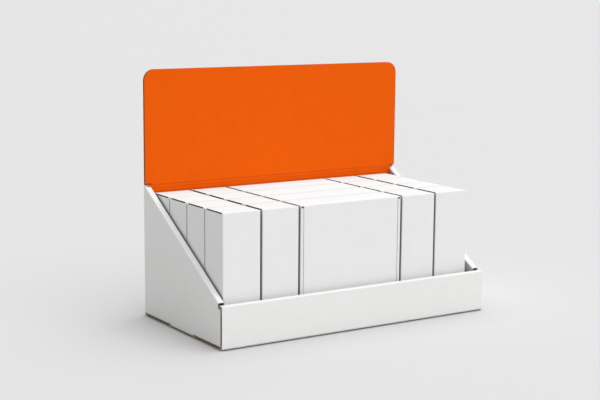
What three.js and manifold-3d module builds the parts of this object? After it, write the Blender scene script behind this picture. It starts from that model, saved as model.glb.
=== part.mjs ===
// Counter display box: a folded corrugated tray with a header flap, loaded with twenty closed cartons.
// Millimetres, +Z up. The origin is at the middle of the tray's underside, and the open front faces -Y.

import * as THREE from "three";
import { mergeVertices } from "three/addons/utils/BufferGeometryUtils.js";
import Module from "manifold-3d";

const wasm = await Module();
wasm.setup();

// Driving dimensions: the board
const board = 3.0; // thickness of the corrugated sheet
const plyGap = 0.4; // air between the two plies of a rolled-over wall
const fit = 0.3; // clearance between cut edges that meet
const foldRadius = 2.4; // outside of a single fold
const rollRadius = 1.1; // outside of each crease along a rolled-over rim

// Driving dimensions: the cartons
const narrowWidth = 39.2;
const wideWidth = 115.0;
const cartonDepth = 33.3;
const cartonHeight = 119.4;
const columnGap = 2.0; // between neighbours across the tray
const rowGap = 1.3; // between neighbours from front to back
const rows = 4;

// Driving dimensions: the cartons' room in the tray
const leftClearance = 1.2;
const rightClearance = 6.2;
const frontClearance = 5.6;
const backClearance = 1.9;
const headroom = 7.6; // from the cartons' tops to the header's crease

// Driving dimensions: the tray's walls
const frontHeight = 40.5;
const sideStep = 2.1; // how far the low end of the sloped rim stands above the front wall
const sideSetback = 1.0; // from the front wall's inner face to the low end of the sloped rim
const sideFoldLength = 44; // a side wall hangs on the base by this fold, midway, between stretches of cut edge
const tabLength = 34; // lock tabs of the inner side plies, through slots in the base
const tabEndMargin = 12; // from a tab to the end of its inner ply
const tabRecess = 0.4; // from the underside up to a tab's end
const scoreDrop = 3.4; // second score line of the back wall, below the header's crease
const scoreWidth = 0.9;
const scoreDepth = 0.35;

// Driving dimensions: the header
const headerHeight = 112;
const headerCornerRadius = 11;
const headerEndRelief = 0.8; // how far the header's ends are cut clear of the side walls

// Driving dimensions: the cartons' folds and closures
const cartonEdgeRadius = 0.7;
const lidBoard = 1.2; // thickness of the lid panel
const lidInset = 0.6; // the lid's cut sides lie inside the side panels
const lidCorner = 2.6; // length at each corner where the lid covers the side panel
const cheekWidth = 4.2; // rolled side of a wide carton, seen at its front
const cheekGroove = 0.5; // width and depth of the line beside it
const lidNotchWidth = 2.8;
const lidNotchHeight = 1.3;
const lidNotchDepth = 1.4;
const lidNotchMargin = 0.8;

// Sizes that follow
const rolledWall = 2 * board + plyGap;
const columnWidths = [narrowWidth, narrowWidth, wideWidth, narrowWidth, narrowWidth];
const loadWidth = columnWidths.reduce((sum, width) => sum + width, 0) + (columnWidths.length - 1) * columnGap;
const loadDepth = rows * cartonDepth + (rows - 1) * rowGap;
const trayWidth = 2 * rolledWall + leftClearance + loadWidth + rightClearance;
const trayDepth = rolledWall + frontClearance + loadDepth + backClearance + board;
const creaseHeight = board + cartonHeight + headroom;
const halfWidth = trayWidth / 2;
const frontY = -trayDepth / 2;
const backY = trayDepth / 2;
const arcSteps = 4; // straight steps in a quarter of a fold

// Colours of the real surfaces
const whiteLiner = new THREE.MeshStandardMaterial({ color: 0xf2f2f0, roughness: 0.75, metalness: 0 });
const orangePrint = new THREE.MeshStandardMaterial({ color: 0xee5d08, roughness: 0.6, metalness: 0 });
const whiteCarton = new THREE.MeshStandardMaterial({ color: 0xf7f7f6, roughness: 0.6, metalness: 0 });

// Solids and booleans

function solidOf(geometry) {
  const bare = geometry.clone();
  bare.deleteAttribute("normal");
  bare.deleteAttribute("uv");
  const merged = mergeVertices(bare, 1e-4);
  const mesh = new wasm.Mesh({
    numProp: 3,
    vertProperties: new Float32Array(merged.attributes.position.array),
    triVerts: new Uint32Array(merged.index.array),
  });
  return new wasm.Manifold(mesh);
}

function geometryOf(solid) {
  const mesh = solid.getMesh();
  const geometry = new THREE.BufferGeometry();
  geometry.setAttribute("position", new THREE.BufferAttribute(new Float32Array(mesh.vertProperties), 3));
  geometry.setIndex(new THREE.BufferAttribute(new Uint32Array(mesh.triVerts), 1));
  geometry.computeVertexNormals();
  return geometry;
}

// The same solid on the other side of the plane x = 0.
function mirroredX(solid) {
  const geometry = geometryOf(solid).applyMatrix4(new THREE.Matrix4().makeScale(-1, 1, 1));
  geometry.index.array.reverse();
  return solidOf(geometry);
}

// A closed outline from corners [a, b, radius]; a radius turns that corner into an arc.
function outline(corners) {
  const points = [];
  corners.forEach(([a, b, radius = 0], index) => {
    const corner = new THREE.Vector2(a, b);
    if (radius === 0) {
      points.push(corner);
      return;
    }
    const before = corners[(index + corners.length - 1) % corners.length];
    const after = corners[(index + 1) % corners.length];
    const toBefore = new THREE.Vector2(before[0], before[1]).sub(corner).normalize();
    const toAfter = new THREE.Vector2(after[0], after[1]).sub(corner).normalize();
    const halfAngle = Math.acos(toBefore.dot(toAfter)) / 2;
    const bisector = toBefore.clone().add(toAfter).normalize();
    const centre = corner.clone().addScaledVector(bisector, radius / Math.sin(halfAngle));
    const start = corner.clone().addScaledVector(toBefore, radius / Math.tan(halfAngle)).sub(centre);
    const end = corner.clone().addScaledVector(toAfter, radius / Math.tan(halfAngle)).sub(centre);
    const turn = Math.atan2(start.x * end.y - start.y * end.x, start.dot(end));
    for (let step = 0; step <= arcSteps; step += 1) {
      const angle = (turn * step) / arcSteps;
      points.push(start.clone().rotateAround(new THREE.Vector2(), angle).add(centre));
    }
  });
  return new THREE.Shape(points);
}

function prism(corners, length, basis, origin) {
  const geometry = new THREE.ExtrudeGeometry(outline(corners), { depth: length, bevelEnabled: false });
  const matrix = new THREE.Matrix4().makeBasis(...basis).setPosition(origin);
  return solidOf(geometry.applyMatrix4(matrix));
}

const alongX = new THREE.Vector3(1, 0, 0);
const alongY = new THREE.Vector3(0, 1, 0);
const alongZ = new THREE.Vector3(0, 0, 1);
const againstY = new THREE.Vector3(0, -1, 0);

// Corners are [y, z], [x, z] and [x, y] in these three.
function prismX(corners, from, to) {
  return prism(corners, to - from, [alongY, alongZ, alongX], new THREE.Vector3(from, 0, 0));
}

function prismY(corners, from, to) {
  return prism(corners, to - from, [alongX, alongZ, againstY], new THREE.Vector3(0, to, 0));
}

function prismZ(corners, from, to) {
  return prism(corners, to - from, [alongX, alongY, alongZ], new THREE.Vector3(0, 0, from));
}

function block(x0, x1, y0, y1, z0, z1) {
  return prismZ([[x0, y0], [x1, y0], [x1, y1], [x0, y1]], z0, z1);
}

// The tray

// Base, outer front wall and the rim that rolls over it, in one stretch across the whole width.
function baseAndFront() {
  const wallInside = frontY + board;
  const rimInside = frontY + rolledWall;
  const section = [
    [frontY, 0, foldRadius],
    [backY, 0, foldRadius],
    [backY, board],
    [wallInside, board],
    [wallInside, frontHeight - board],
    [rimInside, frontHeight - board],
    [rimInside, frontHeight, rollRadius],
    [frontY, frontHeight, rollRadius],
  ];
  return prismX(section, -halfWidth, halfWidth);
}

// The front wall's inner ply hangs from the rim, between the side walls, down to the base.
function frontInnerPly() {
  const reach = halfWidth - rolledWall - fit;
  return block(
    -reach, reach,
    frontY + board + plyGap, frontY + rolledWall,
    board + fit, frontHeight - board / 2,
  );
}

function backWall() {
  const reach = halfWidth - board - fit;
  const wall = block(-reach, reach, backY - board, backY, foldRadius, creaseHeight);
  const scoreZ = creaseHeight - scoreDrop;
  const face = backY - board;
  const score = prismX(
    [
      [face - scoreDepth, scoreZ - scoreWidth],
      [face + scoreDepth, scoreZ],
      [face - scoreDepth, scoreZ + scoreWidth],
    ],
    -reach - fit, reach + fit,
  );
  return wall.subtract(score);
}

// Low front end and high back end of a side wall's sloped rim.
const rimFoot = new THREE.Vector3(0, frontY + rolledWall + sideSetback, frontHeight + sideStep);
const rimHead = new THREE.Vector3(0, backY, creaseHeight);
const upTheRim = rimHead.clone().sub(rimFoot).normalize();
const downTheRim = upTheRim.clone().negate();
const outOfTheRim = new THREE.Vector3().crossVectors(downTheRim, alongX);
const plyBottom = board + fit;
const innerPlyBack = backY - board - fit;
const reachUnderRim = trayDepth + creaseHeight;

// A bar along the whole slope of the left rim and past both its ends. Its corners are
// [distance in from the wall's outer face, height above the rim, radius].
function barAlongLeftRim(corners) {
  const start = rimHead.clone().addScaledVector(upTheRim, trayDepth);
  start.x = -halfWidth;
  const length = rimHead.distanceTo(rimFoot) + 2 * trayDepth;
  return prism(corners, length, [alongX, outOfTheRim, downTheRim], start);
}

// The left side wall: outer ply, sloped rim rolled over it, and inner ply with its lock tabs.
function leftSide() {
  const outerX = -halfWidth;
  const innerX = outerX + rolledWall;
  const frontEnd = frontY + board + fit;
  const lowTop = frontHeight - board - fit;
  const sheets = prismX(
    [
      [frontEnd, plyBottom],
      [backY, plyBottom],
      [rimHead.y, rimHead.z],
      [rimFoot.y, rimFoot.z],
      [rimFoot.y, lowTop],
      [frontEnd, lowTop],
    ],
    outerX, innerX,
  );
  const creasedRim = barAlongLeftRim([
    [0, 0, rollRadius],
    [0, -reachUnderRim],
    [rolledWall, -reachUnderRim],
    [rolledWall, 0, rollRadius],
  ]);
  const airBetweenPlies = barAlongLeftRim([
    [board, -board],
    [board, -reachUnderRim],
    [board + plyGap, -reachUnderRim],
    [board + plyGap, -board],
  ]);
  const roomForBackWall = block(outerX + board, innerX + fit, innerPlyBack, backY + fit, 0, creaseHeight + board);
  const hangingFold = block(
    outerX, outerX + board,
    -sideFoldLength / 2, sideFoldLength / 2,
    foldRadius, plyBottom + board,
  );
  const rolled = sheets.intersect(creasedRim).subtract(airBetweenPlies).subtract(roomForBackWall);
  return tabSpans().reduce(
    (side, [from, to]) => side.add(block(innerX - board, innerX, from, to, tabRecess, plyBottom + board)),
    rolled.add(hangingFold),
  );
}

// Where the two lock tabs of a side wall stand, from front to back.
function tabSpans() {
  const first = frontY + rolledWall + fit + tabEndMargin;
  const last = innerPlyBack - tabEndMargin;
  return [[first, first + tabLength], [last - tabLength, last]];
}

// What the side walls take away from the base: tab slots, and the rounded outside of the hanging fold.
function leftBaseCuts() {
  const outerX = -halfWidth;
  const innerX = outerX + rolledWall;
  const corner = prismY(
    [
      [outerX - fit, -fit],
      [outerX + foldRadius, -fit],
      [outerX + foldRadius, 0],
      ...quarterArc(outerX + foldRadius, foldRadius),
      [outerX, foldRadius],
      [outerX - fit, foldRadius],
    ],
    -sideFoldLength / 2, sideFoldLength / 2,
  );
  return tabSpans().reduce(
    (cuts, [from, to]) => cuts.add(block(innerX - board - fit, innerX + fit, from - fit, to + fit, -fit, board + fit)),
    corner,
  );
}

// Inner points of the arc from straight below a fold's centre to straight left of it.
function quarterArc(centreX, centreZ) {
  const points = [];
  for (let step = 1; step < arcSteps; step += 1) {
    const angle = (Math.PI / 2) * (step / arcSteps);
    points.push([centreX - foldRadius * Math.sin(angle), centreZ - foldRadius * Math.cos(angle)]);
  }
  return points;
}

function displayTray() {
  const left = leftSide();
  const cuts = leftBaseCuts();
  const base = baseAndFront().subtract(cuts).subtract(mirroredX(cuts));
  return base.add(frontInnerPly()).add(backWall()).add(left).add(mirroredX(left));
}

// The header, in the frame of its crease: the crease runs along X through the origin

function header() {
  const waist = halfWidth - rolledWall - fit;
  const face = [
    [-waist, fit],
    [waist, fit],
    [waist, headerEndRelief],
    [halfWidth, headerEndRelief],
    [halfWidth, headerHeight, headerCornerRadius],
    [-halfWidth, headerHeight, headerCornerRadius],
    [-halfWidth, headerEndRelief],
    [-waist, headerEndRelief],
  ];
  return prismY(face, 0, board);
}

// The cartons, each with its bottom on z = 0 and its middle on the Z axis

function cartonBody(width) {
  const x = width / 2;
  const y = cartonDepth / 2;
  const r = cartonEdgeRadius;
  const plan = prismZ([[-x, -y, r], [x, -y, r], [x, y, r], [-x, y, r]], 0, cartonHeight);
  const end = prismX([[-y, 0, r], [y, 0, r], [y, cartonHeight, r], [-y, cartonHeight, r]], -x, x);
  return plan.intersect(end);
}

// The rebate along one top side edge, where the lid's cut edge shows above the side panel.
function lidEdge(width, side) {
  const outside = side * (width / 2 + lidInset);
  const inside = side * (width / 2 - lidInset);
  const reach = cartonDepth / 2 - lidCorner;
  return block(
    Math.min(outside, inside), Math.max(outside, inside),
    -reach, reach,
    cartonHeight - lidBoard, cartonHeight + lidBoard,
  );
}

function narrowCarton() {
  return cartonBody(narrowWidth).subtract(lidEdge(narrowWidth, -1)).subtract(lidEdge(narrowWidth, 1));
}

// A wide carton has rolled cheeks: a line down its front beside each, and a notch over it under the lid.
function wideCarton() {
  const frontFace = -cartonDepth / 2;
  let carton = cartonBody(wideWidth).subtract(lidEdge(wideWidth, -1)).subtract(lidEdge(wideWidth, 1));
  for (const side of [-1, 1]) {
    const lineX = side * (wideWidth / 2 - cheekWidth);
    const notchX = side * (wideWidth / 2 - lidNotchMargin - lidNotchWidth / 2);
    const lidUnderside = cartonHeight - lidBoard;
    const line = block(
      lineX - cheekGroove / 2, lineX + cheekGroove / 2,
      frontFace - cheekGroove, frontFace + cheekGroove,
      -cheekGroove, lidUnderside,
    );
    const notch = block(
      notchX - lidNotchWidth / 2, notchX + lidNotchWidth / 2,
      frontFace - lidNotchDepth, frontFace + lidNotchDepth,
      lidUnderside - lidNotchHeight, lidUnderside,
    );
    carton = carton.subtract(line).subtract(notch);
  }
  return carton;
}

// The whole box

function named(name, solid, material) {
  const mesh = new THREE.Mesh(geometryOf(solid), material);
  mesh.name = name;
  return mesh;
}

const displayBox = new THREE.Group();
displayBox.add(named("display_tray", displayTray(), whiteLiner));

const creaseGroup = new THREE.Group();
creaseGroup.position.set(0, backY - board, creaseHeight);
creaseGroup.add(named("header_flap", header(), orangePrint));
displayBox.add(creaseGroup);

const loadGroup = new THREE.Group();
loadGroup.position.set(-halfWidth + rolledWall + leftClearance, frontY + rolledWall + frontClearance, board);
const cartonShapes = new Map([
  [narrowWidth, geometryOf(narrowCarton())],
  [wideWidth, geometryOf(wideCarton())],
]);
let columnStart = 0;
columnWidths.forEach((width, column) => {
  for (let row = 0; row < rows; row += 1) {
    const kind = width === wideWidth ? "wide_carton" : "narrow_carton";
    const carton = new THREE.Mesh(cartonShapes.get(width), whiteCarton);
    carton.name = `${kind}_column_${column + 1}_row_${row + 1}`;
    carton.position.set(columnStart + width / 2, cartonDepth / 2 + row * (cartonDepth + rowGap), 0);
    loadGroup.add(carton);
  }
  columnStart += width + columnGap;
});
displayBox.add(loadGroup);

export default displayBox;
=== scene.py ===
"""Counter display box: a folded corrugated tray with an orange header flap, loaded with white cartons.

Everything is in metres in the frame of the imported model: +Z up, the open low front towards -Y, and the
origin at the middle of the tray's underside.
"""

import math

import bmesh
import bpy
import numpy as np
from bpy.props import FloatProperty, FloatVectorProperty, IntProperty, PointerProperty, StringProperty
from mathutils import Matrix, Vector


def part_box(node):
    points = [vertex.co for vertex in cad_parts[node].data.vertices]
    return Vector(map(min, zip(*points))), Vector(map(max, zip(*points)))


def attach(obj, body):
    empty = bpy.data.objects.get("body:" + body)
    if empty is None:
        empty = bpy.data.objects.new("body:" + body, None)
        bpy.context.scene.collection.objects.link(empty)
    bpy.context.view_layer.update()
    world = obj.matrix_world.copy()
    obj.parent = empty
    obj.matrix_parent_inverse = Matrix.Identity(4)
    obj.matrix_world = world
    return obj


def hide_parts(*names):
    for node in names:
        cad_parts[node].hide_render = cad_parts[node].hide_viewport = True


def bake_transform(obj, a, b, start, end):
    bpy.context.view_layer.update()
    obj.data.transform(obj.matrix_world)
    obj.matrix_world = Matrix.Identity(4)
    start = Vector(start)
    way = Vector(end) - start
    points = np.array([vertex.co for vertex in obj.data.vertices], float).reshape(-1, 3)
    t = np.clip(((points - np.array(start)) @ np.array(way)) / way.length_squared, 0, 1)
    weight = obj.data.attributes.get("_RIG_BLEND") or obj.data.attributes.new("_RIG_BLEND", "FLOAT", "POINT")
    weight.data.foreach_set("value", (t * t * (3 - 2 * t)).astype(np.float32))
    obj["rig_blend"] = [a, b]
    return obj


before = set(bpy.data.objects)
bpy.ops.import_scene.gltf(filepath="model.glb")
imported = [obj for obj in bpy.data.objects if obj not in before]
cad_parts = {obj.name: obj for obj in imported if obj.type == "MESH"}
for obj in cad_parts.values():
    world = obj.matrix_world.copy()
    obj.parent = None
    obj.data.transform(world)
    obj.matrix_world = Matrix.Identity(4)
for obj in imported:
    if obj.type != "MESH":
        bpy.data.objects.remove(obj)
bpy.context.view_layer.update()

bl_info = {
    "name": "Counter display box",
    "version": (1, 0, 0),
    "blender": (4, 5, 0),
    "location": "View3D > Sidebar > Display box",
    "description": "Finishes a corrugated counter display tray, its header flap and its cartons",
    "category": "Object",
}

MM = 0.001
TRAY_NODE = "display_tray"
HEADER_NODE = "header_flap"
TRAY_BODY = "loaded_tray"
HEADER_BODY = "header"

TRAY_LOW, TRAY_HIGH = (np.array(corner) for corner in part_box(TRAY_NODE))
HEADER_LOW, HEADER_HIGH = (np.array(corner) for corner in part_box(HEADER_NODE))
BOARD = float(HEADER_HIGH[1] - HEADER_LOW[1])
CREASE_HEIGHT = float(TRAY_HIGH[2])
INNER_FACE = float(TRAY_HIGH[1]) - BOARD

# A little more than the two boards of a rolled wall and the air between them.
ROLLED_WALL = 2.2 * BOARD
# How high the slit reaches into the board along the fold that carries a side wall.
SLIT_TOP = 0.7 * BOARD
# Places nearer to each other than this count as one.
SAME_PLACE = 0.05 * MM
# Width of a face that stands for an upright step in a carton's panel.
UPRIGHT = 0.02 * MM
# Points round each corner of a carton's plan.
CORNER_POINTS = 6
# Width of a hollow flute as a share of the pitch.
HOLLOW_SHARE = 0.86
# Places of the finishes in the materials of the tray, the header and the crease. The fourth is a copy of the
# white liner with a wider painted shade, for the rolled walls' inner faces.
WHITE, PRINTED, RAW, INNER_SHADED = range(4)


def length(name, description, millimetres):
    """A length property whose default is given in millimetres."""
    return FloatProperty(
        name=name, description=description, default=millimetres * MM, min=0.0, precision=5,
        subtype="DISTANCE", unit="LENGTH",
    )


def portion(name, description, default):
    """A share between nothing and all."""
    return FloatProperty(name=name, description=description, default=default, min=0.0, max=1.0)


def hex_colour(name, description, default):
    """A colour property held as sRGB hex digits."""
    return StringProperty(name=name, description=description, default=default, maxlen=6)


class CorrugatedBoardSettings(bpy.types.PropertyGroup):
    """The fluted board of the tray and header."""

    liner: length("Liner", "Thickness of each flat face paper", 0.3)
    medium: length("Medium", "Thickness of the wavy paper between the liners", 0.25)
    flute_pitch: length("Flute pitch", "Distance from crest to crest of the wavy paper", 6.4)
    cut_depth: length("Cut depth", "How far the hollow flutes are open at a raw edge", 2.9)
    corner_cut_depth: length("Corner cut depth", "The same at the header's rounded ends", 14.0)
    slot_depth: length("Slot depth", "Depth of the hollow where a cut runs along the flutes", 1.3)
    hoop_depth: length("Hoop depth", "Depth of the hollow in the front end of a side wall's rim", 10.0)
    arris: length("Arris", "How far a cut edge is pressed in at the liners", 0.2)
    fold_gap: length("Fold gap", "Plain board between a fold and the first open flute", 3.0)
    hanging_fold: length("Hanging fold", "Half the length of the fold that carries a side wall", 22.0)
    foot_lift: length("Foot lift", "From the header's foot to the relief over a side wall's rim", 0.15)
    foot_height: length("Foot height", "Height of that relief", 1.1)
    foot_depth: length("Foot depth", "Depth of that relief in the board", 2.3)
    corner_radius: length("Header corner radius", "Radius of the header's two top corners", 11.0)
    # The next three set the painted shade that darkens the liner's colour in gaps and inner corners, wider
    # on the rolled walls' inner faces.
    painted_shade_reach: length("Painted shade reach", "How near other board deepens the tone", 1.5)
    inside_painted_shade_reach: length("Inside painted shade reach", "The same on the inner faces of the rolled walls", 12.0)
    painted_shade_depth: portion("Painted shade depth", "Share of the tone lost there", 0.8)
    white: hex_colour("White liner", "Matt white top liner", "F6F6F5")
    kraft: hex_colour("Kraft core", "Brown paper that a raw edge shows", "BEB0A0")
    # The header's raw edge is a warmer brown, darker than the tray's kraft as painted shade.
    header_kraft: hex_colour("Header edge", "Raw edge that the print's ink has run over", "8C4A22")
    orange: hex_colour("Orange print", "Printed inner face of the back wall and header", "F96204")


class CreaseSettings(bpy.types.PropertyGroup):
    """The crease that joins the header to the back wall."""

    below: length("Below", "Reach of the creased liner below the crease", 1.5)
    above: length("Above", "Reach of the creased liner above the crease", 1.8)
    groove: length("Groove", "Depth of the pressed line", 0.45)
    proud: length("Proud", "How far the creased liner stands over the board", 0.05)
    steps: IntProperty(name="Steps", description="Rows of faces over the crease's back", default=12, min=4)
    stations: IntProperty(name="Stations", description="Sections along the crease", default=25, min=2)


class CartonSettings(bpy.types.PropertyGroup):
    """The closed cartons."""

    edge_radius: length("Edge radius", "Outside radius of the folded edges", 0.8)
    lid: length("Lid board", "Thickness of the lid's cut edge", 1.3)
    lid_inset: length("Lid inset", "How far the lid's cut sides lie inside the side panels", 1.1)
    wide_lid: length("Wide lid board", "Thickness of a wide carton's lid", 0.7)
    wide_lid_inset: length("Wide lid inset", "The same inset on a wide carton", 0.1)
    lid_corner: length("Lid corner", "Length at each corner without a cut edge", 2.4)
    # These two set the painted shade that darkens the cartons' colour in the gaps between them.
    painted_shade_reach: length("Painted shade reach", "How near other board deepens the tone", 4.0)
    painted_shade_depth: portion("Painted shade depth", "Share of the tone lost there", 0.85)
    cheek: length("Cheek", "Width of the rolled side of a wide carton at its front", 3.4)
    cheek_line: length("Cheek line", "Width and depth of the line beside a cheek", 0.5)
    notch_width: length("Notch width", "Width of the notch over a cheek", 2.2)
    notch_height: length("Notch height", "Height of the notch over a cheek", 1.6)
    notch_depth: length("Notch depth", "Depth of the notch over a cheek", 1.4)
    notch_margin: length("Notch margin", "From the carton's side to its notch", 0.9)
    flute_pitch: length("Flute pitch", "Crest to crest in the thin board of the lid", 3.4)
    white: hex_colour("White board", "Coated white face of the cartons", "F6F6F6")
    # This very dark brown is partly the board's kraft and partly painted shade of its hollows and of the gap
    # under the lid.
    raw: hex_colour("Raw edge", "Brown cut edge of the lid", "43352A")


class StageSettings(bpy.types.PropertyGroup):
    """Floor, light and camera."""

    floor: hex_colour("Floor", "Pale matt floor", "DEDEDE")
    backdrop: hex_colour("Backdrop", "Pale ground past the floor's edge", "E4E4E4")
    # These four set the painted shadow on the floor: a soft one round the object and a narrow contact shadow
    # at its foot.
    painted_shade_reach: length("Painted shade reach", "How far the floor's tone deepens round the object", 60.0)
    painted_shade_depth: portion("Painted shade depth", "Share of the tone lost there", 0.27)
    contact_shadow_reach: length("Contact shadow reach", "How far it deepens again at the object's foot", 4.0)
    contact_shadow_depth: portion("Contact shadow depth", "Share of the tone lost at the foot", 0.75)
    floor_size: FloatProperty(
        name="Floor size", description="Side of the floor", default=60.0, subtype="DISTANCE", unit="LENGTH",
    )
    ambient: FloatProperty(name="Ambient", description="Strength of the even light", default=0.62, min=0.0)
    lean: FloatVectorProperty(
        name="Lean", description="The even light grows towards this side by this share",
        default=(0.82, 0.10, 0.10),
    )
    key: FloatProperty(name="Key", description="Strength of the soft key light", default=1.45, min=0.0)
    key_spread: FloatProperty(
        name="Key spread", description="Width of the soft key light", default=math.radians(82),
        subtype="ANGLE",
    )
    key_direction: FloatVectorProperty(
        name="Key direction", description="From the object towards the key light",
        default=(0.10, -0.34, 0.93), subtype="DIRECTION",
    )
    eye: FloatVectorProperty(
        name="Eye", description="Place of the camera", default=(-0.7247, -1.0949, 0.3258),
        precision=4, subtype="XYZ", unit="LENGTH",
    )
    heading: FloatProperty(
        name="Heading", description="Camera turned right from +Y", default=math.radians(32.80),
        subtype="ANGLE",
    )
    dip: FloatProperty(
        name="Dip", description="Camera turned down from level", default=math.radians(9.17),
        subtype="ANGLE",
    )
    roll: FloatProperty(
        name="Roll", description="Camera rolled to the right", default=math.radians(-0.47),
        subtype="ANGLE",
    )
    lens: FloatProperty(name="Lens", description="Focal length in millimetres", default=80.99, min=1.0)


class DisplayBoxSettings(bpy.types.PropertyGroup):
    """All the sizes and colours of the display box."""

    board: PointerProperty(type=CorrugatedBoardSettings)
    crease: PointerProperty(type=CreaseSettings)
    carton: PointerProperty(type=CartonSettings)
    stage: PointerProperty(type=StageSettings)


# Colours and materials


def linear(digits):
    """An sRGB hex colour as linear red, green, blue and an alpha of 1."""
    values = np.array([int(digits[i:i + 2], 16) for i in (0, 2, 4)]) / 255.0
    low = values / 12.92
    high = ((values + 0.055) / 1.055) ** 2.4
    return (*np.where(values <= 0.04045, low, high).tolist(), 1.0)


def add_node(tree, kind, settings=None, **inputs):
    """Adds a node with its settings, and sets or links its inputs.

    An input is given by its name with _ for a space, or as i and its number where names repeat.
    """
    node = tree.nodes.new(kind)
    for key, value in (settings or {}).items():
        setattr(node, key, value)
    for key, value in inputs.items():
        numbered = key[0] == "i" and key[1:].isdigit()
        socket = node.inputs[int(key[1:]) if numbered else key.replace("_", " ")]
        if isinstance(value, bpy.types.NodeSocket):
            tree.links.new(value, socket)
        else:
            socket.default_value = value
    return node


def blank_material(name):
    """A material with an empty node tree and its output node."""
    material = bpy.data.materials.new(name)
    material.use_nodes = True
    tree = material.node_tree
    tree.nodes.clear()
    return material, tree, add_node(tree, "ShaderNodeOutputMaterial")


def mottle(tree, coordinates, grain, digits, deep_digits, share):
    """A colour that wanders between two tones in patches of the given grain, in metres."""
    noise = add_node(
        tree, "ShaderNodeTexNoise", Vector=coordinates, Scale=1.0 / grain, Detail=5.0, Roughness=0.6,
    )
    ramp = add_node(
        tree, "ShaderNodeMapRange", Value=noise.outputs["Fac"], From_Min=0.35, From_Max=0.7, To_Max=share,
    )
    mixed = add_node(
        tree, "ShaderNodeMix", {"data_type": "RGBA"},
        i0=ramp.outputs["Result"], i6=linear(digits), i7=linear(deep_digits),
    )
    return mixed.outputs[2]


def painted_occlusion_shade(tree, colour, reach, depth):
    """Painted shade: a colour darkened by the given share where other board stands closer than the reach, as
    an ambient occlusion node finds it.
    """
    open_share = add_node(tree, "ShaderNodeAmbientOcclusion", {"samples": 8}, Distance=reach).outputs["AO"]
    scale = add_node(tree, "ShaderNodeMapRange", Value=open_share, To_Min=1.0 - depth, To_Max=1.0)
    shaded = add_node(
        tree, "ShaderNodeVectorMath", {"operation": "SCALE"}, i0=colour, Scale=scale.outputs["Result"],
    )
    return shaded.outputs["Vector"]


def paper_surface(
    name, digits, deep_digits, roughness, gloss, fibre, ripple_pitch, ripple_height, reach, depth,
):
    """A coated or printed liner: faint mottling, fibre tooth, and flutes that show through as ripples.

    The ripples are a sine of the object's Z on panels that face front or back, and of its Y on panels
    that face sideways, because the flutes lie level in the one and stand upright in the other. The
    colour is darkened in the narrow gaps between boards and in inner corners: this is painted shade.
    """
    material, tree, output = blank_material(name)
    coordinates = add_node(tree, "ShaderNodeTexCoord")
    place = coordinates.outputs["Object"]
    # Painted shade: the base colour is darkened in gaps and inner corners.
    colour = painted_occlusion_shade(tree, mottle(tree, place, 14.0 * MM, digits, deep_digits, 0.5), reach, depth)
    tooth = add_node(
        tree, "ShaderNodeTexNoise", Vector=place, Scale=1.0 / fibre, Detail=3.0, Roughness=0.55,
    )
    spread = 0.06
    rough = add_node(
        tree, "ShaderNodeMapRange", Value=tooth.outputs["Fac"],
        To_Min=roughness - spread, To_Max=roughness + spread,
    )
    fine = add_node(tree, "ShaderNodeBump", Strength=0.25, Distance=0.03 * MM, Height=tooth.outputs["Fac"])
    axes = add_node(tree, "ShaderNodeSeparateXYZ", Vector=place)
    facing = add_node(tree, "ShaderNodeSeparateXYZ", Vector=coordinates.outputs["Normal"])
    sideways = add_node(tree, "ShaderNodeMath", {"operation": "ABSOLUTE"}, i0=facing.outputs["X"])
    across = add_node(
        tree, "ShaderNodeMix", {"data_type": "FLOAT"},
        i0=sideways.outputs[0], i2=axes.outputs["Z"], i3=axes.outputs["Y"],
    )
    turns = add_node(
        tree, "ShaderNodeMath", {"operation": "MULTIPLY"}, i0=across.outputs[0], i1=math.tau / ripple_pitch,
    )
    wave = add_node(tree, "ShaderNodeMath", {"operation": "SINE"}, i0=turns.outputs[0])
    ripple = add_node(
        tree, "ShaderNodeBump", Strength=0.6, Distance=ripple_height,
        Height=wave.outputs[0], Normal=fine.outputs["Normal"],
    )
    shader = add_node(
        tree, "ShaderNodeBsdfPrincipled", Base_Color=colour, Roughness=rough.outputs["Result"],
        Normal=ripple.outputs["Normal"], Specular_IOR_Level=gloss, IOR=1.5,
    )
    tree.links.new(shader.outputs[0], output.inputs["Surface"])
    return material


def white_top_liner(board, name="white_top_liner", reach=None):
    """White-top kraft liner: bleached paper with a light clay coat.

    It looks matt, bright and nearly neutral, with the flutes as faint level stripes.
    """
    return paper_surface(
        name, board.white, "F3F3F1", roughness=0.7, gloss=0.35, fibre=0.5 * MM,
        ripple_pitch=board.flute_pitch, ripple_height=0.015 * MM, reach=reach or board.painted_shade_reach,
        depth=board.painted_shade_depth,
    )


def orange_printed_liner(board):
    """Printed liner: a full coat of matt ink soaked into the paper, dense and almost without gloss."""
    # Its colour carries half as much painted shade in gaps as the white liner.
    return paper_surface(
        "orange_printed_liner", board.orange, "F45F02", roughness=0.75, gloss=0.06, fibre=0.5 * MM,
        ripple_pitch=board.flute_pitch, ripple_height=0.015 * MM, reach=board.painted_shade_reach,
        depth=board.painted_shade_depth / 2,
    )


def coated_carton_board(carton):
    """Coated folding board: a clay coat, smoother than the tray's liner, that looks even and quite matt."""
    return paper_surface(
        "coated_carton_board", carton.white, "F3F3F2", roughness=0.65, gloss=0.12, fibre=0.4 * MM,
        ripple_pitch=carton.flute_pitch, ripple_height=0.005 * MM, reach=carton.painted_shade_reach,
        depth=carton.painted_shade_depth,
    )


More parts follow.
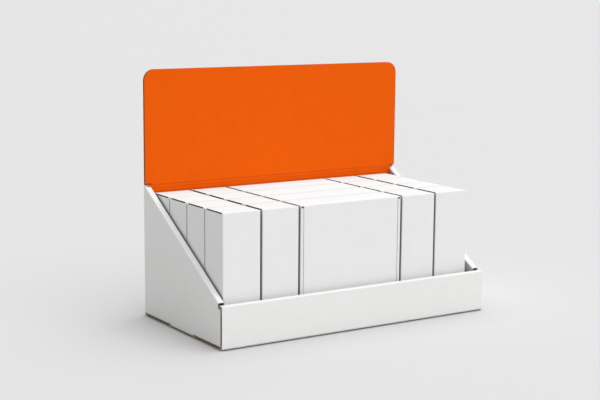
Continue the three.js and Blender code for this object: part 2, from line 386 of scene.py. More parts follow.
def raw_kraft(name, digits, deep_digits, grain):
    """Cut unbleached paper: rough brown fibres with darker and lighter strands, no gloss."""
    material, tree, output = blank_material(name)
    place = add_node(tree, "ShaderNodeTexCoord").outputs["Object"]
    colour = mottle(tree, place, grain, digits, deep_digits, 0.9)
    fibres = add_node(
        tree, "ShaderNodeTexNoise", Vector=place, Scale=2.0 / grain, Detail=4.0, Roughness=0.7,
    )
    bump = add_node(tree, "ShaderNodeBump", Strength=0.5, Distance=0.08 * MM, Height=fibres.outputs["Fac"])
    shader = add_node(
        tree, "ShaderNodeBsdfPrincipled", Base_Color=colour, Roughness=0.9,
        Normal=bump.outputs["Normal"], IOR=1.45,
    )
    tree.links.new(shader.outputs[0], output.inputs["Surface"])
    return material


def kraft_core(board):
    """Brown fluting and liner stock at the tray's and header's raw edges."""
    return raw_kraft("kraft_core", board.kraft, "978A7B", 0.9 * MM)


def header_kraft_core_shaded(board):
    """The same raw edge on the header, in a darker and warmer brown; the extra darkness is painted shade."""
    return raw_kraft("header_kraft_core_shaded", board.header_kraft, "6A3516", 0.9 * MM)


def carton_raw_edge_painted_dark(carton):
    """Thin fluted board of a lid cut across: brown, with darker hollows too fine to model painted in as
    shade; the dark brown also paints the shadow line under the lid's cut edge.
    """
    return raw_kraft("carton_raw_edge_painted_dark", carton.raw, "2A2018", 0.25 * carton.flute_pitch)


# Meshes


def mesh_object(name, points, faces, materials, face_materials=None, smooth_angle=35.0):
    """An object at the origin from points and faces, smooth up to an angle, with its normals outwards."""
    mesh = bpy.data.meshes.new(name)
    mesh.from_pydata(np.asarray(points, float).tolist(), [], faces)
    for material in materials:
        mesh.materials.append(material)
    if face_materials is not None:
        mesh.polygons.foreach_set("material_index", np.asarray(face_materials, np.int32))
    turn_outwards(mesh)
    shade_by_angle(mesh, smooth_angle)
    made = bpy.data.objects.new(name, mesh)
    bpy.context.scene.collection.objects.link(made)
    return made


def turn_outwards(mesh):
    """Points the faces of a closed mesh outwards."""
    shell = bmesh.new()
    shell.from_mesh(mesh)
    bmesh.ops.recalc_face_normals(shell, faces=shell.faces)
    shell.to_mesh(mesh)
    shell.free()


def shade_by_angle(mesh, degrees):
    """Smooth faces, with sharp edges where they meet at more than the angle."""
    mesh.polygons.foreach_set("use_smooth", np.ones(len(mesh.polygons), bool))
    mesh.set_sharp_from_angle(angle=math.radians(degrees))
    mesh.update()


def keep_flats_flat(target):
    """Weighted normals, so that flat panels shade flat up to their rounded folds."""
    weigh = target.modifiers.new("weighted_normals", "WEIGHTED_NORMAL")
    weigh.mode = "FACE_AREA"
    weigh.weight = 100
    weigh.keep_sharp = True


def face_facts(mesh):
    """Centres and normals of a mesh's faces, as two arrays."""
    centres = np.empty(3 * len(mesh.polygons))
    normals = np.empty(3 * len(mesh.polygons))
    mesh.polygons.foreach_get("center", centres)
    mesh.polygons.foreach_get("normal", normals)
    return centres.reshape(-1, 3), normals.reshape(-1, 3)


def carried_rings(rings, first=0):
    """Points and faces of a closed shell: rings of equal length joined in order, with a cap at each end.

    Point k of ring n has the number first + n * around + k, and a quad joins k and k + 1 on two rings.
    """
    count, around = rings.shape[:2]
    here = np.arange(around)
    after = (here + 1) % around
    low = first + np.arange(count - 1)[:, None] * around
    quads = np.stack([low + here, low + after, low + around + after, low + around + here], axis=-1)
    faces = quads.reshape(-1, 4).tolist()
    faces.append((first + here[::-1]).tolist())
    faces.append((first + here + (count - 1) * around).tolist())
    return rings.reshape(-1, 3), faces


def prisms(profiles, origin, along, through, inward, start, stop):
    """A pair of rings for each of many prisms.

    A profile's point (s, t) lies at origin + s * along + t * through, and the prism is carried from start
    to stop in the inward direction.
    """
    origin, along, through, inward = (np.asarray(v, float) for v in (origin, along, through, inward))
    flat = origin + profiles[..., :1] * along + profiles[..., 1:] * through
    return np.stack([flat + start * inward, flat + stop * inward], axis=1)


def joined(stacks):
    """Points and faces of several closed shells as one, each shell given as its rings."""
    points, faces, first = [], [], 0
    for rings in stacks:
        shell_points, shell_faces = carried_rings(rings, first)
        points.append(shell_points)
        faces.extend(shell_faces)
        first += len(shell_points)
    return np.concatenate(points), faces


def flute_hollows(board, start, stop):
    """Profiles of the hollows between the wavy medium and the liners, from start to stop along a cut edge.

    The medium's middle is a cosine of one flute pitch that reaches from liner to liner. A hollow over a
    trough is bounded by the medium's upper face, half its thickness above the middle, and by the upper
    liner's inner face; one under a crest is the same turned over, half a pitch on. As many hollows as fit
    are spread evenly between start and stop, each HOLLOW_SHARE of a pitch wide.
    """
    pitch = board.flute_pitch
    middle = BOARD / 2
    swing = middle - board.liner - board.medium / 2
    half_width = HOLLOW_SHARE / 2
    reach = np.linspace(-half_width, half_width, 11) * pitch
    wave = middle - swing * np.cos(math.tau * reach / pitch) + board.medium / 2
    over = np.stack([reach, wave], axis=-1)
    lid = np.array([[reach[-1], BOARD - board.liner], [reach[0], BOARD - board.liner]])
    over = np.concatenate([over, lid])
    under = np.stack([over[:, 0], BOARD - over[:, 1]], axis=-1)[::-1]
    order = np.arange(math.floor(2 * (stop - start) / pitch + 1 - 2 * HOLLOW_SHARE))
    if not len(order):
        raise RuntimeError("a raw edge is too short for one flute")
    spare = (stop - start) - (HOLLOW_SHARE + 0.5 * (len(order) - 1)) * pitch
    centres = start + spare / 2 + (half_width + 0.5 * order) * pitch
    shapes = np.where((order % 2 == 0)[:, None, None], over, under)
    shapes[..., 0] += centres[:, None]
    return shapes


def cut_with(target, points, faces, raw_material):
    """Cuts a set of closed prisms out of an object; the new faces take the raw material."""
    cutter = mesh_object("flute_cutter", points, faces, [raw_material])
    cut = target.modifiers.new("flutes", "BOOLEAN")
    cut.operation = "DIFFERENCE"
    cut.solver = "EXACT"
    cut.material_mode = "TRANSFER"
    cut.object = cutter
    graph = bpy.context.evaluated_depsgraph_get()
    finished = bpy.data.meshes.new_from_object(target.evaluated_get(graph), depsgraph=graph)
    target.modifiers.clear()
    old = target.data
    target.data = finished
    bpy.data.meshes.remove(old)
    bpy.data.objects.remove(cutter)


def must_be_closed(target):
    """Stops the script if a piece has no faces, or an edge that isn't shared by exactly two of them."""
    edges = np.empty(len(target.data.loops), np.int32)
    target.data.loops.foreach_get("edge_index", edges)
    if not len(edges) or np.any(np.bincount(edges) != 2):
        raise RuntimeError(f"{target.name} is empty or isn't closed")


def merged_copy(node, name):
    """A new object from a CAD node's mesh, with its loose triangles merged."""
    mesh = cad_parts[node].data.copy()
    mesh.name = name
    mesh.materials.clear()
    shell = bmesh.new()
    shell.from_mesh(mesh)
    bmesh.ops.remove_doubles(shell, verts=shell.verts, dist=1e-6)
    bmesh.ops.dissolve_limit(shell, angle_limit=math.radians(0.5), verts=shell.verts, edges=shell.edges)
    shell.to_mesh(mesh)
    shell.free()
    for attribute in [a.name for a in mesh.attributes if a.name == "custom_normal"]:
        mesh.attributes.remove(mesh.attributes[attribute])
    made = bpy.data.objects.new(name, mesh)
    bpy.context.scene.collection.objects.link(made)
    return made


# The tray


def tray_flutes(board):
    """Closed prisms that open the flutes where the tray's board is cut across them.

    The base and front wall have level flutes along X, so their side edges show the wave: the base in two
    stretches on each side of the hanging fold, and the front wall from the base up to its rolled rim. The
    front end of a side wall's rim shows its folded hoop, and the wall's back end a slot along the flutes.
    """
    stacks = []
    fold, gap = board.hanging_fold, board.fold_gap
    beside_fold = fold + gap / 3
    wall_start = 1.2 * gap
    rim_start = float(TRAY_LOW[1]) + gap / 4
    rim_stop = rim_start + 0.9 * board.flute_pitch
    front_top = front_wall_top() - BOARD
    for side in (-1.0, 1.0):
        corner = [side * TRAY_HIGH[0], 0.0, 0.0]
        inward = [-side, 0.0, 0.0]
        for start, stop in ((TRAY_LOW[1] + gap, -beside_fold), (beside_fold, TRAY_HIGH[1] - gap)):
            base = flute_hollows(board, start, stop)
            stacks.extend(prisms(base, corner, [0, 1, 0], [0, 0, 1], inward, -MM, board.cut_depth))
        foot = [side * TRAY_HIGH[0], TRAY_LOW[1], 0.0]
        wall = flute_hollows(board, wall_start, front_top)
        stacks.extend(prisms(wall, foot, [0, 0, 1], [0, 1, 0], inward, -MM, board.cut_depth))
        brow = [side * TRAY_HIGH[0], 0.0, front_top]
        rim = flute_hollows(board, rim_start, rim_stop)
        stacks.extend(prisms(rim, brow, [0, 1, 0], [0, 0, 1], inward, -MM, board.cut_depth))
        top, deep = rim_foot()
        hoop = hoop_profile(board, top - front_top)
        start = [side * TRAY_HIGH[0], deep, top]
        stacks.extend(prisms(hoop[None], start, inward, [0, 0, -1], [0, 1, 0], -MM / 2, board.hoop_depth))
        tail = [side * TRAY_HIGH[0], TRAY_HIGH[1], 0.0]
        slot = core_slot(board, 2 * BOARD, CREASE_HEIGHT - 2 * BOARD)
        stacks.extend(prisms(slot, tail, inward, [0, 0, 1], [0, -1, 0], -MM, board.slot_depth))
    return joined(stacks)


def core_slot(board, low, high):
    """One profile between the two liners, as (through the board, along the edge), from low to high."""
    near, far = board.liner, BOARD - board.liner
    return np.array([[[near, low], [far, low], [far, high], [near, high]]])


def hoop_profile(board, drop):
    """The hollow of a rolled rim's cut end, an arch over two legs, as (in from the side, down)."""
    wall = 2.13 * BOARD
    skin, cut = board.liner, BOARD - board.liner
    shoulder, crown = 4 * skin, 1.5 * skin
    return np.array([
        [skin, drop], [skin, shoulder], [shoulder, crown], [wall - shoulder, crown],
        [wall - skin, shoulder], [wall - skin, drop], [wall - cut, drop], [wall - cut, cut],
        [cut, cut], [cut, drop],
    ])


def rim_foot():
    """Height and Y of the low front end of the side walls' sloping rims, read from the tray's points."""
    points = node_points(TRAY_NODE)
    low_end = points[(points[:, 2] > front_wall_top() + 0.5 * MM) & (points[:, 1] < 0.0)]
    deep = float(low_end[:, 1].min())
    return float(low_end[low_end[:, 1] < deep + SAME_PLACE][:, 2].max()), deep


def front_wall_top():
    """Height of the front wall's flat rim, read from the tray's own points at the front face."""
    points = node_points(TRAY_NODE)
    return float(points[points[:, 1] < TRAY_LOW[1] + BOARD][:, 2].max())


def node_points(node):
    """The points of a CAD node's mesh, one row each."""
    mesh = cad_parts[node].data
    points = np.empty(3 * len(mesh.vertices))
    mesh.vertices.foreach_get("co", points)
    return points.reshape(-1, 3)


def split_for_finishes(mesh, board):
    """Edges across the flat faces where one finish ends and the next starts."""
    half, front = TRAY_HIGH[0], TRAY_LOW[1]
    planes = [
        ((0, 0, BOARD), (0, 0, 1)),
        ((0, 0, SLIT_TOP), (0, 0, 1)),
        ((0, front + BOARD, 0), (0, 1, 0)),
        ((0, -board.hanging_fold, 0), (0, 1, 0)),
        ((0, board.hanging_fold, 0), (0, 1, 0)),
        ((-half + BOARD, 0, 0), (1, 0, 0)),
        ((half - BOARD, 0, 0), (1, 0, 0)),
    ]
    shell = bmesh.new()
    shell.from_mesh(mesh)
    for point, normal in planes:
        everything = [*shell.verts, *shell.edges, *shell.faces]
        bmesh.ops.bisect_plane(shell, geom=everything, dist=1e-6, plane_co=point, plane_no=normal)
    shell.to_mesh(mesh)
    shell.free()


def tray_faces(mesh, board):
    """Which finish each face of the tray has: white liner, orange print, raw kraft or inner liner, the white
    liner's copy with wider painted shade.

    Raw are the cut ends of the base and front wall at both sides, of the side walls at the front and
    back, of the rolled walls inside, the tabs and their slots, and the slit along the hanging fold. The
    bounds are counted in boards in from a side or up from the base, each a little past the faces it takes.
    """
    centres, normals = face_facts(mesh)
    half, front = TRAY_HIGH[0], TRAY_LOW[1]
    across, along, height = abs(centres[:, 0]), centres[:, 1], centres[:, 2]
    slit_side, outer_board, inner_board = half - 0.8 * BOARD, half - 1.05 * BOARD, half - 2 * BOARD
    inner_face, slot_side = half - 2.5 * BOARD, half - 3.3 * BOARD
    square_on, not_straight_down = 0.99, -0.97
    printed = (abs(along - INNER_FACE) < 0.5 * MM) & (normals[:, 1] < -0.3) & (across < half - BOARD)
    sideways = abs(normals[:, 0]) > square_on
    at_side = sideways & (across > half - SAME_PLACE)
    hanging = abs(along) < board.hanging_fold
    base_edge = at_side & (height < BOARD) & ~hanging
    in_front_wall = along < front + ROLLED_WALL
    rim_top = front_wall_top()
    rolled_rim = in_front_wall & (height > rim_top - BOARD) & (height < rim_top)
    front_edge = at_side & ((along < front + BOARD) | rolled_rim)
    inner_ends = sideways & (across < inner_board) & in_front_wall
    at_ends = (abs(normals[:, 1]) > square_on) & (abs(along) > INNER_FACE - ROLLED_WALL)
    wall_ends = at_ends & (across > half - ROLLED_WALL) & (along > front + SAME_PLACE)
    wall_ends &= (along < INNER_FACE) | (across > outer_board)
    slit = hanging & (across > slit_side) & (height < SLIT_TOP) & (normals[:, 2] > not_straight_down)
    in_slots = (across > slot_side) & (across < half - BOARD)
    tabs = in_slots & (height < BOARD - SAME_PLACE) & (height > SAME_PLACE)
    inner_side = sideways & (across < inner_board) & (across > inner_face) & (height > BOARD)
    finish = np.full(len(centres), WHITE, np.int32)
    finish[printed] = PRINTED
    finish[inner_side] = INNER_SHADED
    finish[base_edge | front_edge | inner_ends | wall_ends | slit | tabs] = RAW
    return finish


class DISPLAYBOX_OT_tray(bpy.types.Operator):
    """Builds the tray's board with white and printed faces and open flutes at its raw edges"""

    bl_idname = "displaybox.tray"
    bl_label = "Tray"

    def execute(self, context):
        board = context.scene.display_box.board
        # The rolled walls' inner faces take a copy of the white liner with a wider reach of painted shade.
        inside = white_top_liner(board, "inner_white_liner_deep_shade", board.inside_painted_shade_reach)
        materials = [white_top_liner(board), orange_printed_liner(board), kraft_core(board), inside]
        tray = merged_copy(TRAY_NODE, "tray_board")
        for material in materials:
            tray.data.materials.append(material)
        split_for_finishes(tray.data, board)
        tray.data.polygons.foreach_set("material_index", tray_faces(tray.data, board))
        cut_with(tray, *tray_flutes(board), materials[RAW])
        shade_by_angle(tray.data, 30.0)
        must_be_closed(tray)
        keep_flats_flat(tray)
        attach(tray, TRAY_BODY)
        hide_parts(TRAY_NODE)
        return {"FINISHED"}


# The header


def header_outline(board, inset):
    """The header's face outline as (x, z), moved in by inset, with two round corners at the top."""
    half = HEADER_HIGH[0]
    low, high = HEADER_LOW[2], HEADER_HIGH[2]
    radius = board.corner_radius
    angles = np.linspace(0.0, math.pi / 2, 13)
    right = np.stack([np.cos(angles), np.sin(angles)], axis=-1) * (radius - inset)
    right += [half - radius, high - radius]
    left = right[::-1] * [-1, 1]
    foot = np.array([[-half + inset, low], [half - inset, low]])
    return np.concatenate([right, left, foot])


def crease_reach():
    """Half length of the crease: half the width of the header's lowest edge in the CAD."""
    points = node_points(HEADER_NODE)
    return float(points[points[:, 2] < HEADER_LOW[2] + 0.1 * MM][:, 0].max())


def header_flutes(board):
    """Closed prisms for the header's cuts.

    Level flutes open at both ends, a slot runs along the top cut, and a relief that doesn't reach through
    the board is pressed into each end of the foot, over a side wall's rim.
    """
    stacks = []
    foot_margin, top_margin = 0.5 * MM, 2.0 * MM
    ends = flute_hollows(board, HEADER_LOW[2] + foot_margin, HEADER_HIGH[2] - top_margin)
    for side in (-1.0, 1.0):
        corner = [side * HEADER_HIGH[0], HEADER_LOW[1], 0.0]
        inward = [-side, 0, 0]
        stacks.extend(prisms(ends, corner, [0, 0, 1], [0, 1, 0], inward, -MM, board.corner_cut_depth))
    top = [0, HEADER_LOW[1], HEADER_HIGH[2]]
    slot = core_slot(board, -MM, board.slot_depth)
    reach = HEADER_HIGH[0] - board.corner_radius
    stacks.extend(prisms(slot, top, [0, 1, 0], [0, 0, -1], [1, 0, 0], -reach, reach))
    inner, high = HEADER_HIGH[0] - crease_reach(), board.foot_height
    relief = np.array([[[-MM, 0], [inner, 0], [inner, high], [-MM, high]]])
    for side in (-1.0, 1.0):
        foot = [side * HEADER_HIGH[0], HEADER_LOW[1], HEADER_LOW[2] + board.foot_lift]
        stacks.extend(prisms(relief, foot, [-side, 0, 0], [0, 0, 1], [0, 1, 0], -MM, board.foot_depth))
    return joined(stacks)


class DISPLAYBOX_OT_header(bpy.types.Operator):
    """Builds the header flap: orange print on its inner face, white liner behind, fluted raw edges"""

    bl_idname = "displaybox.header"
    bl_label = "Header flap"

    def execute(self, context):
        board = context.scene.display_box.board
        materials = [white_top_liner(board), orange_printed_liner(board), header_kraft_core_shaded(board)]
        front, back, edge = HEADER_LOW[1], HEADER_HIGH[1], 1.6 * board.arris
        levels = [(front, board.arris), (front + edge, 0.0), (back - edge, 0.0), (back, board.arris)]
        rings = np.stack([np.insert(header_outline(board, inset), 1, y, axis=1) for y, inset in levels])
        points, faces = carried_rings(rings)
        header = mesh_object("header_board", points, faces, materials)
        _, normals = face_facts(header.data)
        turned = 0.4
        finish = np.full(len(normals), RAW, np.int32)
        finish[normals[:, 1] < -turned] = PRINTED
        finish[normals[:, 1] > turned] = WHITE
        header.data.polygons.foreach_set("material_index", finish)
        cut_with(header, *header_flutes(board), materials[RAW])
        shade_by_angle(header.data, 30.0)
        must_be_closed(header)
        keep_flats_flat(header)
        # The carton tops are white right up to the print, so it throws no coloured light on them.
        header.visible_diffuse = False
        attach(header, HEADER_BODY)
        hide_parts(HEADER_NODE)
        return {"FINISHED"}


# The crease


def crease_profile(crease):
    """The creased liner's closed section as (y, z).

    In front is a pressed groove, and behind a half wave that stands proud of the board by crease.proud.
    """
    front, back = INNER_FACE, INNER_FACE + BOARD
    low, high = CREASE_HEIGHT - crease.below, CREASE_HEIGHT + crease.above
    middle = (CREASE_HEIGHT + HEADER_LOW[2]) / 2
    face = front - crease.proud
    bevel = 0.3 * MM
    groove = [
        (front + crease.proud, low),
        (face, low + bevel),
        (face, middle - crease.groove),
        (front + crease.groove, middle),
        (face, middle + crease.groove),
        (face, high - bevel),
        (front + crease.proud, high),
    ]
    heights = np.linspace(high, low, crease.steps + 1)
    bulge = np.sin(np.linspace(0.0, math.pi, crease.steps + 1))
    outer = np.stack([back - crease.proud + 2 * crease.proud * bulge, heights], axis=-1)
    return np.concatenate([np.array(groove), outer])


class DISPLAYBOX_OT_crease(bpy.types.Operator):
    """Builds the creased liner that joins the header to the back wall and bends with the flap"""

    bl_idname = "displaybox.crease"
    bl_label = "Header crease"

    def execute(self, context):
        settings = context.scene.display_box
        materials = [white_top_liner(settings.board), orange_printed_liner(settings.board)]
        section = crease_profile(settings.crease)
        end_gap = 0.1 * MM
        reach = crease_reach() - end_gap
        stations = np.linspace(-reach, reach, settings.crease.stations)
        rings = np.stack([np.insert(section, 0, x, axis=1) for x in stations])
        crease = mesh_object("header_crease_liner", *carried_rings(rings), materials)
        must_be_closed(crease)
        centres, _ = face_facts(crease.data)
        finish = np.where(centres[:, 1] < INNER_FACE + BOARD / 2, PRINTED, WHITE)
        crease.data.polygons.foreach_set("material_index", finish.astype(np.int32))
        middle = settings.crease.below / 2
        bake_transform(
            crease, TRAY_BODY, HEADER_BODY,
            start=(0, INNER_FACE, CREASE_HEIGHT - middle), end=(0, INNER_FACE, HEADER_LOW[2] + middle),
        )
        return {"FINISHED"}


# The cartons


def lid_sizes(carton, wide):
    """Thickness of a carton's lid, and how far its cut sides lie inside the side panels."""
    return (carton.wide_lid, carton.wide_lid_inset) if wide else (carton.lid, carton.lid_inset)


def cheek_places(width, carton):
    """Distances from the middle of a wide carton's front to its cheek line and to its notch's two sides."""
    outer = width / 2 - carton.notch_margin
    return width / 2 - carton.cheek, outer - carton.notch_width, outer


def plan_corners(width, depth, radius):
    """The rounded corners of a carton's plan: for each, its points and their outward directions.

    A corner is a quarter circle of the given radius, and the corners run round from the front right.
    """
    arc = np.linspace(0.0, math.pi / 2, CORNER_POINTS)
    corners = []
    for turn, (sx, sy) in enumerate(((1, -1), (1, 1), (-1, 1), (-1, -1))):
        angle = arc + (turn - 1) * math.pi / 2
        outward = np.stack([np.cos(angle), np.sin(angle)], axis=-1)
        centre = np.array([sx * (width / 2 - radius), sy * (depth / 2 - radius)])
        corners.append((centre + radius * outward, outward))
    return corners


def carton_ring(width, depth, carton, wide):
    """Plan points of a carton, their outward directions, and 1 where the lid's cut side is and 0 elsewhere.

    The sides have stops where the lid's cut edge starts and ends, and a wide carton's front has the stops
    that its lines and notches need.
    """
    corners = plan_corners(width, depth, carton.edge_radius)
    corner_flag = np.zeros(CORNER_POINTS)
    cut = depth / 2 - carton.lid_corner
    ramp = 0.25 * MM
    side_y = np.array([-cut - ramp, -cut, 0.0, cut, cut + ramp])
    side_flag = np.array([0.0, 1.0, 1.0, 1.0, 0.0])
    front_x = np.array([0.0])
    if wide:
        line, inner, outer = cheek_places(width, carton)
        half = carton.cheek_line / 2
        line_stops = [line - half - UPRIGHT, line - half, line + half]
        if line + half + UPRIGHT < inner - UPRIGHT:
            line_stops.append(line + half + UPRIGHT)
        stops = np.sort([*line_stops, inner - UPRIGHT, inner, outer, outer + UPRIGHT])
        front_x = np.concatenate([-stops[::-1], stops])
    front = np.stack([front_x, np.full(len(front_x), -depth / 2)], axis=-1)
    right = np.stack([np.full(len(side_y), width / 2), side_y], axis=-1)
    back = np.array([[0.0, depth / 2]])
    left = right[::-1] * [-1, 1]
    parts = [
        (front, np.tile([0.0, -1.0], (len(front), 1)), np.zeros(len(front))),
        (*corners[0], corner_flag),
        (right, np.tile([1.0, 0.0], (len(right), 1)), side_flag),
        (*corners[1], corner_flag),
        (back, np.array([[0.0, 1.0]]), np.zeros(1)),
        (*corners[2], corner_flag),
        (left, np.tile([-1.0, 0.0], (len(left), 1)), side_flag),
        (*corners[3], corner_flag),
    ]
    places, outward, flags = (np.concatenate([part[i] for part in parts]) for i in range(3))
    return places, outward, flags


def carton_shell(width, depth, height, carton, wide):
    """A closed carton as rings of its plan, one for each level.

    A point of a ring is its plan point moved in along its outward direction by an inset that depends on
    the level: a quarter circle at the bottom and top folds, the lid's inset between the levels of its cut
    edge, and the depths of the cheek lines and notches where the point lies in them.
    """
    places, outward, side = carton_ring(width, depth, carton, wide)
    lid, lid_inset = lid_sizes(carton, wide)
    radius, lid_low, bevel = carton.edge_radius, height - lid, 0.12 * MM
    quarter = np.linspace(0.0, math.pi / 2, 5)
    bottom = radius * (1 - np.cos(quarter))
    bottom_in = radius * (1 - np.sin(quarter))
    fold = height - radius + radius * np.sin(quarter)
    notch_low = lid_low - carton.notch_height
    steps = [notch_low, notch_low + UPRIGHT, lid_low - UPRIGHT, lid_low]
    levels = np.unique(np.concatenate([bottom, steps, fold]))
    fold_in = np.interp(levels, bottom, bottom_in) * (levels < height / 2)
    into_fold = np.clip(levels - (height - radius), 0, radius)
    top_in = radius - np.sqrt(np.clip(radius**2 - into_fold**2, 0, None))
    plain = fold_in + top_in
    raw = np.where(levels >= lid_low, lid_inset + np.clip(levels - height + bevel, 0, None), fold_in)
    inset = plain[:, None] * (1 - side) + raw[:, None] * side
    if wide:
        across = abs(places[:, 0])
        on_front = places[:, 1] < -depth / 2 + UPRIGHT
        line, inner, outer = cheek_places(width, carton)
        slack = UPRIGHT / 4
        in_line = on_front & (abs(across - line) <= carton.cheek_line / 2 + slack)
        in_notch = on_front & (across <= outer + slack) & (across >= inner - slack)
        under_lid = (levels < lid_low)[:, None]
        notch_level = under_lid & (levels > notch_low)[:, None]
        inset = np.maximum(inset, carton.cheek_line * (in_line & under_lid))
        inset = np.maximum(inset, carton.notch_depth * (in_notch & notch_level))
    plan = places[None] - inset[..., None] * outward[None]
    return np.concatenate([plan, np.broadcast_to(levels[:, None, None], (*inset.shape, 1))], axis=-1)


class DISPLAYBOX_OT_cartons(bpy.types.Operator):
    """Builds each closed carton over its own node, with folded edges and the lid's brown cut edges"""

    bl_idname = "displaybox.cartons"
    bl_label = "Cartons"

    def execute(self, context):
        carton = context.scene.display_box.carton
        materials = [coated_carton_board(carton), carton_raw_edge_painted_dark(carton)]
        facing = 0.9
        nodes = sorted(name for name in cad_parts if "carton" in name)
        if not nodes:
            raise RuntimeError("the frame has no cartons")
        for node in nodes:
            low, high = (np.array(corner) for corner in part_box(node))
            width, depth, height = high - low
            middle = (low + high) / 2
            wide = node.startswith("wide")
            rings = carton_shell(width, depth, height, carton, wide) + [middle[0], middle[1], low[2]]
            shell = mesh_object(node + "_board", *carried_rings(rings), materials)
            centres, normals = face_facts(shell.data)
            # The lid's cut sides take the dark raw edge colour, which also paints the shadow line under the
            # lid.
            cut = (abs(normals[:, 0]) > facing) & (centres[:, 2] > high[2] - lid_sizes(carton, wide)[0])
            cut &= abs(centres[:, 1] - middle[1]) < depth / 2 - carton.lid_corner
            # The back of a wide carton's notch takes the same dark colour as painted shade inside the notch.
            into = (centres[:, 1] - low[1]) / carton.notch_depth
            cut |= (normals[:, 1] < -facing) & (into > 0.7) & (into < 2.0)
            shell.data.polygons.foreach_set("material_index", cut.astype(np.int32))
            must_be_closed(shell)
            keep_flats_flat(shell)
            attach(shell, TRAY_BODY)
            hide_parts(node)
        return {"FINISHED"}


# The stage


def matt_floor(stage):
    """Smooth matt painted board: plain and pale, with a trace of tooth, and deeper near the object.

    The painted shadow deepens softly over the first reach and again, as a narrow painted contact shadow, at
    the object's foot.
    """
    material, tree, output = blank_material("matt_floor")
    place = add_node(tree, "ShaderNodeTexCoord").outputs["Object"]
    tooth = add_node(tree, "ShaderNodeTexNoise", Vector=place, Scale=1.0 / (1.5 * MM), Detail=2.0)
    bump = add_node(tree, "ShaderNodeBump", Strength=0.1, Distance=0.1 * MM, Height=tooth.outputs["Fac"])
    painted = mottle(tree, place, 3.0 * MM, stage.floor, "DBDBDB", 1.0)
    # Painted shadow on the floor round the object, then a painted contact shadow at its foot.
    broadly_shaded = painted_occlusion_shade(tree, painted, stage.painted_shade_reach, stage.painted_shade_depth)
    colour = painted_occlusion_shade(tree, broadly_shaded, stage.contact_shadow_reach, stage.contact_shadow_depth)
    shader = add_node(
        tree, "ShaderNodeBsdfPrincipled", Base_Color=colour, Roughness=0.95, Normal=bump.outputs["Normal"],
    )
    tree.links.new(shader.outputs[0], output.inputs["Surface"])
    return material


def studio_world(stage):
    """Even white light that grows towards one side, and the backdrop's own tone past the floor's edge."""
    world = bpy.data.worlds.new("studio_world")
    world.use_nodes = True
    tree = world.node_tree
    tree.nodes.clear()
    outward = add_node(tree, "ShaderNodeTexCoord").outputs["Generated"]
    lean = add_node(
        tree, "ShaderNodeVectorMath", {"operation": "DOT_PRODUCT"}, i0=outward, i1=tuple(stage.lean),
    )
    strength = add_node(
        tree, "ShaderNodeMath", {"operation": "MULTIPLY_ADD"},
        i0=lean.outputs["Value"], i1=stage.ambient, i2=stage.ambient,
    )
    light = add_node(tree, "ShaderNodeBackground", Color=(1.0, 1.0, 1.0, 1.0), Strength=strength.outputs[0])
    seen = add_node(tree, "ShaderNodeBackground", Color=linear(stage.backdrop), Strength=1.0)
    path = add_node(tree, "ShaderNodeLightPath")
    mixed = add_node(tree, "ShaderNodeMixShader", i0=path.outputs["Is Camera Ray"])
    tree.links.new(light.outputs[0], mixed.inputs[1])
    tree.links.new(seen.outputs[0], mixed.inputs[2])
    output = add_node(tree, "ShaderNodeOutputWorld")
    tree.links.new(mixed.outputs[0], output.inputs["Surface"])
    return world


def camera_matrix(stage):
    """The camera's matrix from its heading, dip and roll, in that order."""
    heading, dip, roll = stage.heading, stage.dip, stage.roll
    ahead = np.array([math.sin(heading), math.cos(heading), 0.0])
    forward = math.cos(dip) * ahead - [0.0, 0.0, math.sin(dip)]
    level = np.array([math.cos(heading), -math.sin(heading), 0.0])
    down = np.cross(forward, level)
    right = math.cos(roll) * level + math.sin(roll) * down
    up = math.sin(roll) * level - math.cos(roll) * down
    matrix = np.eye(4)
    matrix[:3, 0], matrix[:3, 1], matrix[:3, 2], matrix[:3, 3] = right, up, -forward, stage.eye
    return matrix.tolist()


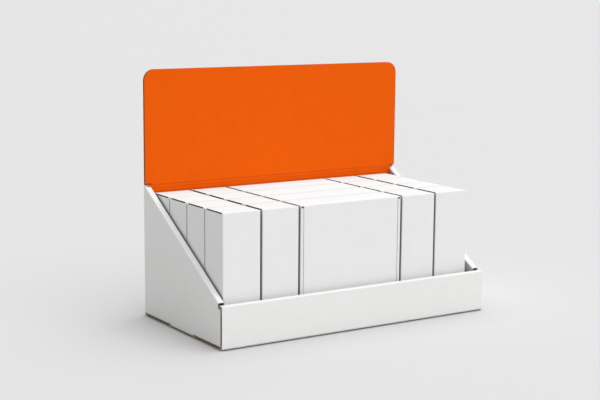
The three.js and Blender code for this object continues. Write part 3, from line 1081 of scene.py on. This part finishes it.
class DISPLAYBOX_OT_stage(bpy.types.Operator):
    """Builds the floor, the soft light and the camera"""

    bl_idname = "displaybox.stage"
    bl_label = "Stage"

    def execute(self, context):
        stage = context.scene.display_box.stage
        scene = context.scene
        half = stage.floor_size / 2
        corners = [(-half, -half, 0.0), (half, -half, 0.0), (half, half, 0.0), (-half, half, 0.0)]
        floor = mesh_object("floor", corners, [[0, 1, 2, 3]], [matt_floor(stage)])
        scene.world = studio_world(stage)
        lamp = bpy.data.lights.new("key_light", "SUN")
        lamp.energy = stage.key
        lamp.angle = stage.key_spread
        key = bpy.data.objects.new("key_light", lamp)
        key.rotation_mode = "QUATERNION"
        key.rotation_quaternion = Vector(stage.key_direction).to_track_quat("Z", "Y")
        scene.collection.objects.link(key)
        lens = bpy.data.cameras.new("camera")
        lens.lens = stage.lens
        lens.clip_end = 2 * stage.floor_size
        camera = bpy.data.objects.new("camera", lens)
        camera.matrix_world = Matrix(camera_matrix(stage))
        scene.collection.objects.link(camera)
        scene.camera = camera
        scene.view_settings.view_transform = "Standard"
        return {"FINISHED"}


class DISPLAYBOX_PT_panel(bpy.types.Panel):
    """Lists the operators and settings of the display box"""

    bl_idname = "DISPLAYBOX_PT_panel"
    bl_label = "Counter display box"
    bl_space_type = "VIEW_3D"
    bl_region_type = "UI"
    bl_category = "Display box"

    def draw(self, context):
        settings = context.scene.display_box
        for operator in OPERATORS:
            self.layout.operator(operator.bl_idname)
        for group in (settings.board, settings.crease, settings.carton, settings.stage):
            box = self.layout.box()
            for name in group.__annotations__:
                box.prop(group, name)


SETTINGS = (CorrugatedBoardSettings, CreaseSettings, CartonSettings, StageSettings, DisplayBoxSettings)
OPERATORS = (
    DISPLAYBOX_OT_tray,
    DISPLAYBOX_OT_header,
    DISPLAYBOX_OT_crease,
    DISPLAYBOX_OT_cartons,
    DISPLAYBOX_OT_stage,
)


def register():
    """Registers the classes and hangs the settings on the scene."""
    for made in (*SETTINGS, *OPERATORS, DISPLAYBOX_PT_panel):
        bpy.utils.register_class(made)
    bpy.types.Scene.display_box = PointerProperty(type=DisplayBoxSettings)


def unregister():
    """Takes the settings and classes away again."""
    del bpy.types.Scene.display_box
    for made in reversed((*SETTINGS, *OPERATORS, DISPLAYBOX_PT_panel)):
        bpy.utils.unregister_class(made)


def main():
    """Builds everything in order."""
    register()
    bpy.ops.displaybox.tray()
    bpy.ops.displaybox.header()
    bpy.ops.displaybox.crease()
    bpy.ops.displaybox.cartons()
    bpy.ops.displaybox.stage()


if __name__ == "__main__":
    main()
